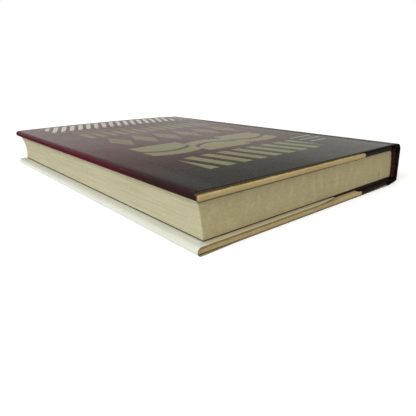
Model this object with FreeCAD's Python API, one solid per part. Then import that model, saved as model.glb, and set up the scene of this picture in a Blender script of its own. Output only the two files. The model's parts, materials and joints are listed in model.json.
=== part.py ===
import FreeCAD, Part
import math
import os

from FreeCAD import Vector

# A hardback book lying on its back cover, in millimetres.
# +X runs from the spine to the fore edge, +Y from the tail to the head, and +Z up through the front cover.
# The model is drawn from the line where the covers hinge, at x = 0, and is moved at the end
# so that the origin is the middle of the underside.

# Text block
page_height = 229.0
page_width = 150.2
text_thickness = 17.2
spine_rounding = 0.8  # how far the middle of the backs stands out behind their edges
fore_hollow_head = 0.4  # the fore edge is hollow, and more so at the tail
fore_hollow_tail = 1.6
block_lean = 2.2  # the last pages sit this much nearer the spine than the first
shoulder_setback = 1.2  # first page's fold behind the hinge line

# Papers and cloth
endpaper_thickness = 0.2
cover_paper_thickness = 0.2
cloth_thickness = 0.2
mull_thickness = 0.2
lining_thickness = 0.3
jacket_thickness = 0.2

# Boards
board_thickness = 2.2
board_edge_radius = 0.7
end_square = 3.0  # cover beyond the pages at the head and at the tail
fore_square = 2.8  # cover beyond the first page at the fore edge
groove_width = 5.0  # hinge line to the board
turn_in = 15.0
cloth_reach = 35.5  # hinge line to the edge of the cover paper
paper_lap = 3.5  # cover paper over the cloth
paper_step = 0.6  # run over which the cover paper climbs onto the cloth
mull_reach = 26.0
mull_end_gap = 1.0  # mull short of the cloth's turn-in
pastedown_square = 3.0
joggle = 0.6  # width of the pastedown's step down from the turn-ins to the board

# Spine of the case
spine_card_thickness = 1.0
hollow_top = 3.6  # air between the lined backs and the case, beside the first page
hollow_bottom = 2.1
spine_corner_radius = 4.2
spine_foot_radius = 1.2
spine_top_drop = 1.0
spine_foot_rise = 1.8
spine_crest_radius = 0.4
cloth_crest = 2.4  # hinge line to the crest where the cloth leaves the groove

# Jacket
jacket_short = 0.5  # cover left bare at the head and at the tail
fold_bulge = 0.6  # fold of the jacket beyond the edge of the cover
jacket_air = 0.6  # the panels stand this far off the covers
flap_width = 92.0

# Head and tail bands
band_radius = 1.1
band_core_radius = 0.85
band_tape = 10.0
band_sink = 0.2  # flat of the band where it sits on the pages
thread_sides = 8
stitch_pitch = 1.7
stitch_width = 1.05

# Clearances
joint_gap = 0.1  # each side of the hinge line
cover_gap = 0.1  # closed cover over the flyleaf
jacket_slack = 0.1  # jacket over the cloth of the spine
jacket_joint_drop = 0.05  # fixed edge of the jacket under the plane of its cover

# Heights above the table of the back cover and the pages
cloth_lap_thickness = cloth_thickness + cover_paper_thickness
back_board_outer = jacket_thickness + jacket_air + cloth_lap_thickness
back_board_inner = back_board_outer + board_thickness
turn_in_thickness = max(cloth_thickness, cover_paper_thickness, mull_thickness)
flap_seat = back_board_inner + turn_in_thickness + endpaper_thickness
cover_stack = flap_seat + jacket_thickness
leaf_bottom = cover_stack + cover_gap
text_bottom = leaf_bottom + endpaper_thickness
text_top = text_bottom + text_thickness
book_thickness = text_bottom + text_top

# Lengths along the book
board_length = page_height + 2 * (end_square - cover_paper_thickness)
cover_length = board_length + 2 * cover_paper_thickness
jacket_length = cover_length - 2 * jacket_short
mull_length = board_length - 2 * (turn_in + mull_end_gap)

# Places from the hinge line towards the fore edge
first_fold = -shoulder_setback
last_fold = -shoulder_setback - block_lean
board_fore = first_fold + page_width + fore_square - cover_paper_thickness
cloth_edge = cloth_reach + paper_lap
fold_outer = board_fore + cover_paper_thickness + fold_bulge
case_spine_thickness = 2 * cloth_thickness + spine_card_thickness
lined_back = mull_thickness + lining_thickness
spine_wall = lined_back + case_spine_thickness + jacket_slack + jacket_thickness
spine_top = first_fold - hollow_top - spine_wall
spine_foot = last_fold - hollow_bottom - spine_wall

origin_shift = Vector(-(fold_outer + spine_foot) / 2, 0, 0)


def at(x, z, y=0.0):
    return Vector(x, y, z)


def mirrored(z):
    return book_thickness - z


def block(x0, x1, y0, y1, z0, z1):
    return Part.makeBox(x1 - x0, y1 - y0, z1 - z0, Vector(x0, y0, z0))


def extruded(edges, y0, y1):
    """A closed outline drawn at y = 0, given its length along the book."""
    face = Part.Face(Part.Wire(Part.__sortEdges__(edges)))
    return face.extrude(Vector(0, y1 - y0, 0)).translated(Vector(0, y0, 0))


def to_front(back_shape):
    """The same piece on the front cover, mirrored about the middle of the thickness."""
    return back_shape.mirror(Vector(0, 0, book_thickness / 2), Vector(0, 0, 1))


# Paths of lines with rounded corners, in the section across the spine

def unit(a, b):
    run = math.hypot(b[0] - a[0], b[1] - a[1])
    return (b[0] - a[0]) / run, (b[1] - a[1]) / run


def turn_at(before, corner, after):
    """Signed turn of the path at a corner, in radians, to the left if positive."""
    d0 = unit(before, corner)
    d1 = unit(corner, after)
    return math.atan2(d0[0] * d1[1] - d0[1] * d1[0], d0[0] * d1[0] + d0[1] * d1[1])


def inset(points, distance):
    """The path moved to its left, with its corners where the moved lines meet."""
    moved = []
    for i, point in enumerate(points):
        before = unit(points[max(i - 1, 0)], points[max(i, 1)])
        after = unit(points[min(i, len(points) - 2)], points[min(i + 1, len(points) - 1)])
        normal = (-(before[1] + after[1]), before[0] + after[0])
        scale = distance * 2 / (normal[0] ** 2 + normal[1] ** 2)
        moved.append((point[0] + normal[0] * scale, point[1] + normal[1] * scale))
    return moved


def rounded(points, radii, distance=0.0):
    """Edges of the path, moved to its left by a distance, with arcs at its inner corners."""
    moved = inset(points, distance)
    edges = []
    last = at(*moved[0])
    for i in range(1, len(points) - 1):
        turn = turn_at(points[i - 1], points[i], points[i + 1])
        radius = radii[i - 1] - math.copysign(distance, turn)
        reach = radius * math.tan(abs(turn) / 2)
        before = unit(moved[i - 1], moved[i])
        after = unit(moved[i], moved[i + 1])
        start = (moved[i][0] - before[0] * reach, moved[i][1] - before[1] * reach)
        end = (moved[i][0] + after[0] * reach, moved[i][1] + after[1] * reach)
        side = math.copysign(radius, turn)
        centre = (start[0] - before[1] * side, start[1] + before[0] * side)
        middle = unit(centre, moved[i])
        middle = (centre[0] + middle[0] * radius, centre[1] + middle[1] * radius)
        edges.append(Part.makeLine(last, at(*start)))
        edges.append(Part.Arc(at(*start), at(*middle), at(*end)).toShape())
        last = at(*end)
    edges.append(Part.makeLine(last, at(*moved[-1])))
    return edges


def bent_sheet(points, radii, outer, thickness, y0, y1):
    """A sheet that follows the path, from outer to outer + thickness on its left."""
    outside = rounded(points, radii, outer)
    inside = rounded(points, radii, outer + thickness)
    caps = [
        Part.makeLine(outside[0].Vertexes[0].Point, inside[0].Vertexes[0].Point),
        Part.makeLine(outside[-1].Vertexes[-1].Point, inside[-1].Vertexes[-1].Point),
    ]
    return extruded(outside + inside + caps, y0, y1)


# Text block and what is glued to its back

def back_curve(behind):
    """The rounded backs of the pages, or a curve this far behind them."""
    top = at(first_fold - behind, text_top)
    bottom = at(last_fold - behind, text_bottom)
    middle = (top + bottom) / 2 - Vector(spine_rounding, 0, 0)
    return Part.Arc(top, middle, bottom).toShape()


def page_outline(y, hollow):
    """Section of the text block across the spine, at one end of the book."""
    top_spine = at(first_fold, text_top, y)
    bottom_spine = at(last_fold, text_bottom, y)
    top_fore = top_spine + Vector(page_width, 0, 0)
    bottom_fore = bottom_spine + Vector(page_width, 0, 0)
    back_middle = (top_spine + bottom_spine) / 2 - Vector(spine_rounding, 0, 0)
    fore_middle = (top_fore + bottom_fore) / 2 - Vector(hollow, 0, 0)
    return Part.Wire([
        Part.makeLine(top_spine, top_fore),
        Part.Arc(top_fore, fore_middle, bottom_fore).toShape(),
        Part.makeLine(bottom_fore, bottom_spine),
        Part.Arc(bottom_spine, back_middle, top_spine).toShape(),
    ])


def text_block():
    tail = page_outline(-page_height / 2, fore_hollow_tail)
    head = page_outline(page_height / 2, fore_hollow_head)
    return Part.makeLoft([tail, head], True, True)


def flyleaf(fold, fore, leaf, pastedown_side):
    """The free half of an endpaper, with its fold at the shoulder and the start of its glued half."""
    away = math.copysign(endpaper_thickness, pastedown_side - leaf)
    free = block(fold, fore, -page_height / 2, page_height / 2, *sorted((leaf, leaf - away)))
    back = block(fold, fold + endpaper_thickness, -page_height / 2, page_height / 2,
                 *sorted((leaf - away, pastedown_side)))
    start = block(fold, -joint_gap, -page_height / 2, page_height / 2,
                  *sorted((pastedown_side, pastedown_side - away)))
    return free.fuse([back, start]).removeSplitter()


def behind_backs(near, far, y0, y1):
    """A sheet glued along the backs of the pages, between two distances behind them."""
    curves = [back_curve(near), back_curve(far)]
    caps = [Part.makeLine(curves[0].Vertexes[i].Point, curves[1].Vertexes[i].Point) for i in (0, 1)]
    return extruded(curves + caps, y0, y1)


def mull_spine():
    """Open cloth over the backs, with the roots of the two flanges that go under the boards."""
    low = back_board_inner
    high = mirrored(back_board_inner)
    inner = [
        at(-joint_gap, high - mull_thickness),
        at(first_fold, high - mull_thickness),
        at(first_fold, text_top),
    ]
    inner_low = [
        at(last_fold, text_bottom),
        at(last_fold, low + mull_thickness),
        at(-joint_gap, low + mull_thickness),
    ]
    outer = [
        at(-joint_gap, high),
        at(first_fold - mull_thickness, high),
        at(first_fold - mull_thickness, text_top),
    ]
    outer_low = [
        at(last_fold - mull_thickness, text_bottom),
        at(last_fold - mull_thickness, low),
        at(-joint_gap, low),
    ]
    edges = [back_curve(0), back_curve(mull_thickness)]
    for run in (inner, inner_low, outer, outer_low):
        edges += [Part.makeLine(a, b) for a, b in zip(run, run[1:])]
    edges.append(Part.makeLine(inner[0], outer[0]))
    edges.append(Part.makeLine(inner_low[-1], outer_low[-1]))
    return extruded(edges, -mull_length / 2, mull_length / 2)


def stitch_outline(radius, centre, along):
    """Outline of a wrapped cord, flat where the turns of thread press on each other."""
    across = Vector(0, 1, 0)
    third = along.cross(across)
    corners = []
    for i in range(thread_sides + 1):
        angle = 2 * math.pi * (i + 0.5) / thread_sides
        corners.append(centre + across * (radius * math.cos(angle)) + third * (radius * math.sin(angle)))
    return Part.makePolygon(corners)


def band(end):
    """A worked band at the head (end = 1) or the tail (end = -1): a tape on the backs,
    a cord along the edge of the pages, and the stitches that wrap it."""
    page_end = page_height / 2
    cord = back_curve(band_radius - band_sink)
    cord.translate(Vector(0, page_end + band_radius - band_sink, 0))
    first = cord.FirstParameter
    span = cord.LastParameter - first
    ring = stitch_outline(band_core_radius, cord.valueAt(first), cord.tangentAt(first))
    worked = Part.Wire(cord).makePipeShell([ring], True, True)
    count = int(cord.Length / stitch_pitch)
    for i in range(count):
        place = first + span * (i + 0.5) / count
        along = cord.tangentAt(place)
        start = cord.valueAt(place) - along * (stitch_width / 2)
        stitch = Part.Face(stitch_outline(band_radius, start, along)).extrude(along * stitch_width)
        worked = worked.fuse(stitch)
    above = block(spine_foot, 0, page_end, page_end + 2 * band_radius, 0, book_thickness)
    tape = behind_backs(0, mull_thickness, page_end - band_tape, page_end + band_core_radius)
    made = worked.common(above).fuse(tape).removeSplitter()
    if end < 0:
        made = made.mirror(Vector(0, 0, 0), Vector(0, 1, 0))
    return made


# Spine of the case and of the jacket

def jacket_corners():
    """Corners of the jacket's outer face round the spine, from the front joint to the back one."""
    return [
        (-joint_gap, book_thickness - jacket_joint_drop),
        (spine_top, book_thickness - spine_top_drop),
        (spine_foot, spine_foot_rise),
        (-joint_gap, jacket_joint_drop),
    ]


jacket_radii = (spine_corner_radius, spine_foot_radius)
cloth_outer = jacket_thickness + jacket_slack
card_outer = cloth_outer + cloth_thickness
card_inner = card_outer + spine_card_thickness


def jacket_spine():
    return bent_sheet(jacket_corners(), jacket_radii, 0, jacket_thickness,
                      -jacket_length / 2, jacket_length / 2)


def on_line(a, b, x):
    return x, a[1] + (b[1] - a[1]) * (x - a[0]) / (b[0] - a[0])


def cloth_corners():
    """Corners of the cloth's outer face: out of the front groove, round the spine, into the back one."""
    corner = inset(jacket_corners(), cloth_outer)
    low = back_board_inner - cloth_thickness
    return [
        (-joint_gap, mirrored(low)),
        (first_fold, mirrored(low)),
        on_line(corner[0], corner[1], -cloth_crest),
        corner[1],
        corner[2],
        on_line(corner[2], corner[3], -cloth_crest),
        (first_fold, low),
        (-joint_gap, low),
    ]


def card_section(near, far, y0, y1):
    """A flat strip along the spine, between two distances inside the jacket's outer face."""
    outline = []
    for distance in (near, far):
        line = inset(jacket_corners(), distance)[1:3]
        down = unit(*line)
        top = (line[0][0] + down[0] * spine_corner_radius, line[0][1] + down[1] * spine_corner_radius)
        foot = (line[1][0] - down[0] * spine_foot_radius, line[1][1] - down[1] * spine_foot_radius)
        outline.append((at(*top), at(*foot)))
    (a, b), (c, d) = outline
    edges = [Part.makeLine(*pair) for pair in ((a, b), (b, d), (d, c), (c, a))]
    return extruded(edges, y0, y1)


def spine_card():
    return card_section(card_outer, card_inner, -board_length / 2, board_length / 2)


def spine_cloth():
    """Cloth from groove to groove, turned in over the ends of the card."""
    radii = (spine_crest_radius, spine_crest_radius, spine_corner_radius - cloth_outer,
             spine_foot_radius - cloth_outer, spine_crest_radius, spine_crest_radius)
    outer = bent_sheet(cloth_corners(), radii, 0, cloth_thickness, -cover_length / 2, cover_length / 2)
    pieces = []
    for end in (-1, 1):
        outside, card_end, inside = (end * cover_length / 2, end * board_length / 2,
                                     end * (cover_length / 2 - turn_in))
        pieces.append(card_section(cloth_outer, card_inner + cloth_thickness, *sorted((card_end, outside))))
        pieces.append(card_section(card_inner, card_inner + cloth_thickness, *sorted((inside, outside))))
    return outer.fuse(pieces).removeSplitter()


# Back cover; the front cover is its mirror image

def grown_board(growth):
    """The board, or the outside of a covering of this thickness on it."""
    grown = block(groove_width - growth, board_fore + growth,
                  -board_length / 2 - growth, board_length / 2 + growth,
                  back_board_outer - growth, back_board_inner + growth)
    rims = [e for e in grown.Edges if e.BoundBox.ZLength < board_thickness / 2]
    return grown.makeFillet(board_edge_radius + growth, rims)


def covering(inner, outer, x0, x1, top):
    """Part of a covering between two distances from the board, up to a height."""
    shell = grown_board(outer).cut(grown_board(inner))
    return shell.common(block(x0, x1, -cover_length, cover_length, -cover_length, top))


def window(x0, x1):
    """The inside of the board that the turn-ins leave bare."""
    half = cover_length / 2 - turn_in
    return block(x0, x1, -half, half, back_board_inner, cover_stack)


def cloth_on_board():
    """Cloth over the spine edge of the board and across the groove, turned in at the head and tail."""
    on_board = covering(0, cloth_thickness, 0, cloth_edge, cover_stack)
    half = cover_length / 2
    shoulder = groove_width + board_edge_radius
    low = back_board_inner - cloth_thickness
    in_groove = [block(joint_gap, shoulder, -half, half, low, back_board_inner)]
    for y0, y1 in ((-half, turn_in - half), (half - turn_in, half)):
        in_groove.append(block(joint_gap, shoulder, y0, y1, low, back_board_inner + cloth_thickness))
    made = on_board.cut(window(0, cloth_edge + 1))
    for piece in in_groove:
        made = made.fuse(piece.cut(grown_board(0)))
    return made.removeSplitter()


def cover_paper():
    """Paper over the rest of the board, turned in on three sides, with its spine edge lapped over the cloth."""
    top = cover_stack
    paper = covering(0, cover_paper_thickness, cloth_edge, fold_outer, top)
    paper = paper.cut(window(cloth_edge - 1, board_fore + cover_paper_thickness - turn_in))
    step = covering(0, cloth_lap_thickness, cloth_edge, cloth_edge + paper_step, back_board_inner)
    lap = covering(cloth_thickness, cloth_lap_thickness, cloth_reach, cloth_edge, back_board_inner)
    return paper.fuse([step, lap]).removeSplitter()


def mull_tab():
    return block(joint_gap, mull_reach, -mull_length / 2, mull_length / 2,
                 back_board_inner, back_board_inner + mull_thickness)


def pastedown():
    """The glued half of an endpaper: over the turn-ins and the mull, and down onto the bare board."""
    seat = back_board_inner + turn_in_thickness
    fore = board_fore + cover_paper_thickness - pastedown_square
    half = page_height / 2
    sheet = block(joint_gap, fore, -half, half, seat, seat + endpaper_thickness)
    low_x0, low_x1 = mull_reach, board_fore + cover_paper_thickness - turn_in
    low_half = cover_length / 2 - turn_in
    lowered = block(low_x0, low_x1, -low_half, low_half, back_board_inner, seat + endpaper_thickness)
    hollow = block(low_x0 + joggle, low_x1 - joggle, -low_half + joggle, low_half - joggle,
                   back_board_inner + endpaper_thickness, cover_stack)
    return sheet.fuse(lowered).cut(hollow).removeSplitter()


def jacket_panel():
    """Panel of the jacket, its round fold over the fore edge, and the flap inside the cover."""
    outer_radius = cover_stack / 2
    inner_radius = outer_radius - jacket_thickness
    centre = fold_outer - outer_radius
    flap_end = fold_outer - flap_width

    def half_turn(radius):
        return Part.Arc(at(centre, outer_radius - radius), at(centre + radius, outer_radius),
                        at(centre, outer_radius + radius)).toShape()

    edges = [half_turn(outer_radius), half_turn(inner_radius)]
    for a, b in (
        ((joint_gap, 0), (centre, 0)),
        ((joint_gap, jacket_thickness), (centre, jacket_thickness)),
        ((joint_gap, 0), (joint_gap, jacket_thickness)),
        ((flap_end, cover_stack), (centre, cover_stack)),
        ((flap_end, flap_seat), (centre, flap_seat)),
        ((flap_end, flap_seat), (flap_end, cover_stack)),
    ):
        edges.append(Part.makeLine(at(*a), at(*b)))
    return extruded(edges, -jacket_length / 2, jacket_length / 2)


def nodes():
    """Every sub-part by its node name, drawn from the hinge line."""
    back_pasted = back_board_inner + turn_in_thickness
    made = {
        "text_block": text_block(),
        "front_flyleaf": flyleaf(first_fold, first_fold + page_width, mirrored(leaf_bottom),
                                 mirrored(back_pasted)),
        "back_flyleaf": flyleaf(last_fold, last_fold + page_width, leaf_bottom, back_pasted),
        "spine_mull": mull_spine(),
        "spine_lining": behind_backs(mull_thickness, lined_back, -page_height / 2, page_height / 2),
        "headband": band(1),
        "tailband": band(-1),
        "spine_card": spine_card(),
        "spine_cloth": spine_cloth(),
        "jacket_spine": jacket_spine(),
    }
    back = {
        "board": grown_board(0),
        "cloth": cloth_on_board(),
        "cover_paper": cover_paper(),
        "mull_tab": mull_tab(),
        "pastedown": pastedown(),
        "jacket": jacket_panel(),
    }
    for name, shape in back.items():
        made["back_" + name] = shape
        made["front_" + name] = to_front(shape)
    return made


os.makedirs("parts", exist_ok=True)
for name, shape in nodes().items():
    shape = shape.translated(origin_shift)
    shape.exportStep(f"parts/{name}.step")
    box = shape.BoundBox
    print(f"{name:20s} solids {len(shape.Solids)} faces {len(shape.Faces):3d} volume {shape.Volume:9.1f} "
          f"x {box.XMin:7.2f} {box.XMax:7.2f} y {box.YMin:7.2f} {box.YMax:7.2f} z {box.ZMin:6.2f} {box.ZMax:6.2f}")
print("book", round(fold_outer - spine_foot, 2), cover_length, round(book_thickness, 2),
      "hinge line at x", round(origin_shift.x, 3))
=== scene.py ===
# %% [markdown]
# # A hardback book, dressed for the camera
# The frame holds the book's real sizes and its two hinges. This lesson puts the looks on it, one piece at a
# time: the papers and cloths that bend at a joint are drawn as whole sheets, the pages get their edges, and
# every surface gets a finish made of nodes. All lengths are in metres and in the frame's own axes:
# +X from the spine to the fore edge, +Y from the tail to the head, +Z up through the front cover.

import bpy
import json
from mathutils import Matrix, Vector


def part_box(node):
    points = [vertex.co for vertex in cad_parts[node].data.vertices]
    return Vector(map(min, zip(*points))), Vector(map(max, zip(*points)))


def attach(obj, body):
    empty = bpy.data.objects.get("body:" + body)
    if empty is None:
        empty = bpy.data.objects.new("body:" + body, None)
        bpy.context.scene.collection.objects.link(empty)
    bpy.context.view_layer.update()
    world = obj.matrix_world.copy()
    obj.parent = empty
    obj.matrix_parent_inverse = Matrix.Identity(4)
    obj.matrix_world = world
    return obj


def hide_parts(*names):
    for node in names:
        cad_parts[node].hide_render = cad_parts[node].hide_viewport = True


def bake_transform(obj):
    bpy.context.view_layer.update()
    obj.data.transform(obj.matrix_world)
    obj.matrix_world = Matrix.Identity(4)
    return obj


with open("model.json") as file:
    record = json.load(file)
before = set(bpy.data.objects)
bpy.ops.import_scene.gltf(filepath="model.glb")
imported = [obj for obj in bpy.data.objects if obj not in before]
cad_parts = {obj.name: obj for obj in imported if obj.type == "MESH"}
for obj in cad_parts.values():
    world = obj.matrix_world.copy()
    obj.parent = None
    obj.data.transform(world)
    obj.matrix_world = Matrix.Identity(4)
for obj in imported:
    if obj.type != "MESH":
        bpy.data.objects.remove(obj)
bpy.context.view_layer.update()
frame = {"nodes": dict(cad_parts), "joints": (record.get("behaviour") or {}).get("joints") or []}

# %% Tools and units
import json
import math

import bmesh
import bpy
import numpy as np
from mathutils import Matrix, Vector

mm = 0.001
chance = np.random.default_rng(7)

# %% [markdown]
# ## Where things are
# Every place comes from the frame: the hinge line from the joints, and the edges of the sheets from the boxes
# of the solids that they stand for. Only the sizes that a box can't tell, such as a bend's radius, are
# written here, with the same values as in the part's own source.

# %% Places read from the frame
hinge_x = frame["joints"][0]["pos_m"][0]
low_jacket, high_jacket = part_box("front_jacket")
low_pages, high_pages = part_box("text_block")
low_board, high_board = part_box("front_board")
top = high_jacket.z
fold_x = high_jacket.x
jacket_end = high_jacket.y
page_end = high_pages.y
cloth_end_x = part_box("front_cloth")[1].x
cover_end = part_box("front_cloth")[1].y
print("hinge line at x", round(hinge_x / mm, 2), "mm, thickness", round(top / mm, 2), "mm")

# %% Sizes repeated from the part's source
paper_thickness = 0.2 * mm
spine_corner_radius = 4.2 * mm
spine_foot_radius = 1.2 * mm
spine_top_x = hinge_x - 7.0 * mm
spine_foot_x = hinge_x - 7.7 * mm
spine_top_z = top - 1.0 * mm
spine_foot_z = 1.8 * mm
jacket_air = 0.6 * mm
flap_width = 92 * mm
shoulder = 1.2 * mm
page_lean = 2.2 * mm
page_width = 150.2 * mm
spine_rounding = 0.8 * mm
fore_hollow_head = 0.4 * mm
fore_hollow_tail = 1.6 * mm
turn_in = 15 * mm

# %% [markdown]
# ## Camera
# The photograph was taken close to the book with a normal lens, low over the corner where the head meets the
# fore edge. Its place was solved from the edges of the covers and pages, so it is written as measured: where
# the lens stands, where it looks, and how far it leans.

# %% Camera
camera_place = Vector((165.30, 228.44, 68.29)) * mm
camera_turn = math.radians(219.409)
camera_dip = math.radians(18.919)
camera_roll = math.radians(-1.011)
focal_length = 34.356

ahead = Vector((
    math.sin(camera_turn) * math.cos(camera_dip),
    math.cos(camera_turn) * math.cos(camera_dip),
    -math.sin(camera_dip),
))
right = Vector((math.cos(camera_turn), -math.sin(camera_turn), 0))
up = right.cross(ahead)
rolled_right = right * math.cos(camera_roll) + up * math.sin(camera_roll)
rolled_up = up * math.cos(camera_roll) - right * math.sin(camera_roll)
camera_data = bpy.data.cameras.new("camera")
camera_data.lens = focal_length
camera_data.sensor_width = 36
camera_data.clip_start = 0.01
camera = bpy.data.objects.new("camera", camera_data)
turned = Matrix((rolled_right, rolled_up, -ahead)).transposed().to_4x4()
camera.matrix_world = Matrix.Translation(camera_place) @ turned
scene = bpy.context.scene
scene.collection.objects.link(camera)
bpy.context.scene.camera = camera
scene.view_settings.view_transform = "Standard"
print("camera looks along", [round(c, 3) for c in ahead])

# %% [markdown]
# ## Shader maths
# A finish is a small calculation for each point of a surface. Written with nodes it soon fills a screen, so a
# small class wraps a socket and lets Python's own operators add the Math nodes: `1 - mask` is then a node too.

# %% A socket that can be calculated with
class Value:
    """An output socket. Sums of values become Math nodes, and sums of vectors Vector Math nodes."""

    def __init__(self, finish, socket):
        self.finish = finish
        self.socket = socket

    def out(self, name):
        return Value(self.finish, self.socket.node.outputs[name])

    def maths(self, operation, *operands, out=0):
        kind = "ShaderNodeVectorMath" if self.socket.type == "VECTOR" else "ShaderNodeMath"
        return self.finish.add(kind, {"operation": operation}, dict(enumerate(operands)), out=out)

    def __add__(self, other):
        return self.maths("ADD", self, other)

    def __radd__(self, other):
        return self.maths("ADD", other, self)

    def __sub__(self, other):
        return self.maths("SUBTRACT", self, other)

    def __rsub__(self, other):
        return self.maths("SUBTRACT", other, self)

    def __mul__(self, other):
        return self.maths("MULTIPLY", self, other)

    def __rmul__(self, other):
        return self.maths("MULTIPLY", other, self)

    def __truediv__(self, other):
        return self.maths("DIVIDE", self, other)

    def __rtruediv__(self, other):
        return self.maths("DIVIDE", other, self)

    def __pow__(self, other):
        return self.maths("POWER", self, other)

    def __abs__(self):
        return self.maths("ABSOLUTE", self)

    def at_least(self, other):
        return self.maths("MAXIMUM", self, other)

    def modulo(self, other):
        return self.maths("MODULO", self, other)

    def sine(self):
        return self.maths("SINE", self)

    def length(self):
        return self.maths("LENGTH", self, out="Value")

    def beyond(self, edge, softness=0.1):
        """0 before the edge and 1 beyond it, with a soft step between."""
        return self.finish.add(
            "ShaderNodeMapRange", {"interpolation_type": "SMOOTHSTEP"},
            {"Value": self, "From Min": edge - softness / 2, "From Max": edge + softness / 2})

    def between(self, low, high, softness=0.1):
        return self.beyond(low, softness) * (1 - self.beyond(high, softness))

    def spread(self, low, high, to_low=0.0, to_high=1.0):
        """The range from low to high, mapped evenly on another one."""
        return self.finish.add(
            "ShaderNodeMapRange", {},
            {"Value": self, "From Min": low, "From Max": high, "To Min": to_low, "To Max": to_high})


# %% A tree of nodes that is built from such values
class Finish:
    """The nodes of a material, or of the world where it is given, with one method for every node."""

    def __init__(self, name, world=None):
        self.owner = world or bpy.data.materials.new(name)
        self.owner.use_nodes = True
        self.tree = self.owner.node_tree
        self.tree.nodes.clear()
        self.output = self.tree.nodes.new("ShaderNodeOutputWorld" if world else "ShaderNodeOutputMaterial")

    def add(self, kind, settings=None, sockets=None, out=0):
        node = self.tree.nodes.new(kind)
        for name, value in (settings or {}).items():
            setattr(node, name, value)
        for name, value in (sockets or {}).items():
            if isinstance(value, Value):
                self.tree.links.new(value.socket, node.inputs[name])
            else:
                node.inputs[name].default_value = value
        return Value(self, node.outputs[out])

    def mix(self, factor, a, b):
        """Colour a where the factor is 0, colour b where it is 1."""
        sockets = {name: value if isinstance(value, Value) else (*value, 1) for name, value in ((6, a), (7, b))}
        return self.add("ShaderNodeMix", {"data_type": "RGBA"}, {0: factor, **sockets}, out=2)

    def noise(self, place, scale, detail=2.0, roughness=0.5, stretch=(1, 1, 1)):
        stretched = self.add("ShaderNodeVectorMath", {"operation": "MULTIPLY"}, {0: place, 1: stretch})
        return self.add("ShaderNodeTexNoise", {},
                        {"Vector": stretched, "Scale": scale, "Detail": detail, "Roughness": roughness})

    def place(self):
        """The point of the piece, in metres, before any pose."""
        return self.add("ShaderNodeTexCoord", {}, {}, out="Object")

    def flat(self):
        """The point on a sheet laid flat: along its run from the hinge line, and along the book."""
        return self.add("ShaderNodeUVMap", {"uv_map": "flat"})

    def in_mm(self, point):
        """The three coordinates of a point, in millimetres."""
        split = self.add("ShaderNodeSeparateXYZ", {}, {0: point})
        return [split.out(axis) / mm for axis in "XYZ"]

    def shown(self, shader):
        self.tree.links.new(shader.socket, self.output.inputs["Surface"])
        return self.owner

    def finished(self, colour, roughness, bump, bump_height, **constants):
        """Closes the material with a Principled shader. Constants are set on the shader's own sockets."""
        raised = self.add("ShaderNodeBump", {}, {"Height": bump, "Distance": bump_height, "Strength": 1.0})
        sockets = {"Base Color": colour, "Roughness": roughness, "Normal": raised}
        sockets.update({name.replace("_", " "): value for name, value in constants.items()})
        return self.shown(self.add("ShaderNodeBsdfPrincipled", {}, sockets))


# %% [markdown]
# ## Floor, background and light
# The floor is white to the camera and to mirror rays, and the world is white to the camera. To mirror rays the
# world is a dim room that turns white towards the horizon, and to every other ray both are only pale, so that
# the book isn't lit by them. The floor still gets darker where the book shades it. The main light stands on
# the side of the fore edge, because in the photograph those pages are the brightest.

# %% Floor
half_floor = 6.0
floor_albedo = 0.72
floor_lift = 0.52
floor_mesh = bpy.data.meshes.new("floor")
floor_corners = [(x * half_floor, y * half_floor, 0) for x, y in ((-1, -1), (1, -1), (1, 1), (-1, 1))]
floor_mesh.from_pydata(floor_corners, [], [(0, 1, 2, 3)])
floor = bpy.data.objects.new("floor", floor_mesh)
floor.location.z = -0.1 * mm
scene.collection.objects.link(floor)

paint = Finish("floor_paint")
path = paint.add("ShaderNodeLightPath")
seen = path.out("Is Camera Ray").at_least(path.out("Is Glossy Ray")).at_least(path.out("Is Transmission Ray"))
matt = paint.add("ShaderNodeBsdfDiffuse", {}, {"Color": (floor_albedo, floor_albedo, floor_albedo, 1)})
far_lift = floor_lift + paint.place().length().spread(0.25, 0.9, 0, 0.6)
glow = paint.add("ShaderNodeEmission", {}, {"Color": (1, 1, 1, 1), "Strength": seen * far_lift})
floor_mesh.materials.append(paint.shown(paint.add("ShaderNodeAddShader", {}, {0: matt, 1: glow})))

# %% World
world_level = 0.50
room_level = 0.14
low_level = 0.24
side_level = 0.08
room_colour = (1.0, 0.975, 0.90)
world = bpy.data.worlds.new("world")
scene.world = world
sky = Finish("room", world)
path = sky.add("ShaderNodeLightPath")
camera_sees = path.out("Is Camera Ray").at_least(path.out("Is Transmission Ray"))
direction = sky.add("ShaderNodeTexCoord", {}, {}, out="Generated")
split = sky.add("ShaderNodeSeparateXYZ", {}, {0: direction})
height = split.out("Z")
sideways = abs(split.out("X") * math.cos(camera_turn) - split.out("Y") * math.sin(camera_turn))
white_screen = 1 - height.spread(0.0, 0.13)
low_band = 1 - height.spread(0.165, 0.215)
mirror_level = room_level + side_level * sideways.spread(0.22, 0.42) + low_level * low_band
mirror_level = mirror_level + (1 - room_level - side_level - low_level) * white_screen
plain = world_level + (mirror_level - world_level) * path.out("Is Glossy Ray")
strength = camera_sees + plain * (1 - camera_sees)
tint = sky.mix(camera_sees, room_colour, (1, 1, 1))
sky.shown(sky.add("ShaderNodeBackground", {}, {"Color": tint, "Strength": strength}))


# %% Lamps
def lamp(name, place, aim, size, power):
    data = bpy.data.lights.new(name, "AREA")
    data.shape = "DISK"
    data.size = size
    data.energy = power
    made = bpy.data.objects.new(name, data)
    made.location = place
    made.rotation_euler = (Vector(aim) - Vector(place)).to_track_quat("-Z", "Y").to_euler()
    scene.collection.objects.link(made)
    return made


book_middle = (0, 0, top / 2)
lamps = [
    lamp("main_light", (1.1, 0.25, 0.75), book_middle, size=0.7, power=9.2),
    lamp("head_light", (0.3, 1.1, 0.7), book_middle, size=0.7, power=2.3),
]
print("lamps", [made.name for made in lamps])


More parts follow.
